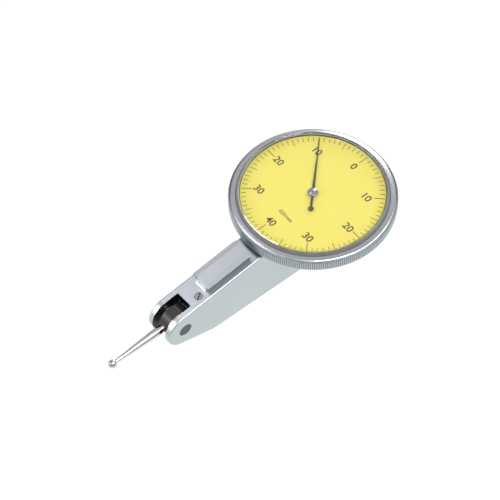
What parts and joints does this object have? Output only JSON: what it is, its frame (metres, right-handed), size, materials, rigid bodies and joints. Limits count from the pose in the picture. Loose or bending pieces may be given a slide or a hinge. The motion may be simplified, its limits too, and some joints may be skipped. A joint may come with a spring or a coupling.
{
  "type": "dial test indicator",
  "caption": "Lever-type dial test indicator with a swivelling ball contact, three dovetail rails and a round dial whose knurled bezel turns to set zero.",
  "frame": {"origin": "centre of the top dovetail's flat face", "axes": "+X along the body towards the dial, with the contact towards -X; +Z is the dial's normal; +Y to the far side, where the side cover is"},
  "size_m": [0.0788, 0.038, 0.0244],
  "materials": {
    "satin_chrome": "satin chromed steel, fine brushing on the top faces",
    "polished_chrome": "polished chrome",
    "screw_steel": "turned steel",
    "dark_steel": "darkened steel",
    "black_steel": "blackened steel",
    "spring_steel": "spring steel",
    "brass": "turned brass",
    "copper": "copper alloy washer",
    "ruby": "polished synthetic ruby",
    "yellow_dial": "matt yellow paint with black graduations",
    "seal_rubber": "matt black",
    "clear_acrylic": "clear polished acrylic",
    "carbide": "polished carbide",
    "black_paint": "matt black paint"
  },
  "bodies": {
    "housing_body": {"body_housing": "satin_chrome", "side_cover": "satin_chrome", "cover_screws": "screw_steel", "fork_screw": "screw_steel", "near_pivot_plug": "dark_steel", "far_pivot_plug": "dark_steel", "sector_bush_near": "brass", "sector_bush_far": "brass", "crown_bush_near": "brass", "crown_bush_far": "brass", "pinion_bridge": "brass", "bridge_screw": "screw_steel", "bridge_jewel": "ruby", "case_jewel": "ruby", "case_screws": "screw_steel", "dial_case": "satin_chrome", "bezel_wire": "spring_steel", "hairspring": "spring_steel", "hairspring_stud": "brass"},
    "bezel": {"bezel_ring": "polished_chrome", "dial_plate": "yellow_dial", "crystal_seal": "seal_rubber", "crystal": "clear_acrylic"},
    "lever": {"pivot_axle": "dark_steel", "lever_arm": "screw_steel", "drive_pin": "screw_steel", "friction_washer": "copper", "spring_washer": "spring_steel"},
    "contact": {"swivel_drum": "black_steel", "contact_stem": "polished_chrome", "contact_ball": "carbide"},
    "sector": {"sector_gear": "brass", "sector_arbor": "screw_steel"},
    "crown": {"crown_wheel": "brass", "crown_arbor": "screw_steel", "drive_pinion": "screw_steel", "hairspring_collet": "brass"},
    "pointer_shaft": {"centre_arbor": "screw_steel", "centre_pinion": "screw_steel", "pointer": "black_paint", "pointer_cap": "polished_chrome"}
  },
  "joints": [
    {"name": "lever_swing", "type": "hinge", "parent": "housing_body", "child": "lever", "pos_m": [-0.0138, 0, -0.008], "axis": [0, 1, 0], "range_deg": [-3, 3], "stiffness_Nm_per_rad": 0.0985},
    {"name": "contact_swivel", "type": "hinge", "parent": "lever", "child": "contact", "pos_m": [-0.0138, 0, -0.008], "axis": [0, 1, 0], "range_deg": [-105, 105]},
    {"name": "sector_swing", "type": "hinge", "parent": "housing_body", "child": "sector", "pos_m": [0.004, 0, -0.008], "axis": [0, 1, 0], "range_deg": [-3.4, 3.4]},
    {"name": "crown_spin", "type": "hinge", "parent": "housing_body", "child": "crown", "pos_m": [0.0265, 0, -0.008], "axis": [0, 1, 0], "range_deg": [-82, 82], "deforming": ["hairspring"]},
    {"name": "pointer_spin", "type": "hinge", "parent": "housing_body", "child": "pointer_shaft", "pos_m": [0.0265, 0, 0.0016], "axis": [0, 0, 1], "range_deg": [-406, 406]},
    {"name": "bezel_turn", "type": "hinge", "parent": "housing_body", "child": "bezel", "pos_m": [0.0265, 0, 0.0016], "axis": [0, 0, 1], "continuous": true}
  ],
  "couplings": [
    {"joint": "sector_swing", "follows": "lever_swing", "ratio": -1.125},
    {"joint": "crown_spin", "follows": "lever_swing", "ratio": 27},
    {"joint": "pointer_spin", "follows": "lever_swing", "ratio": -135}
  ]
}
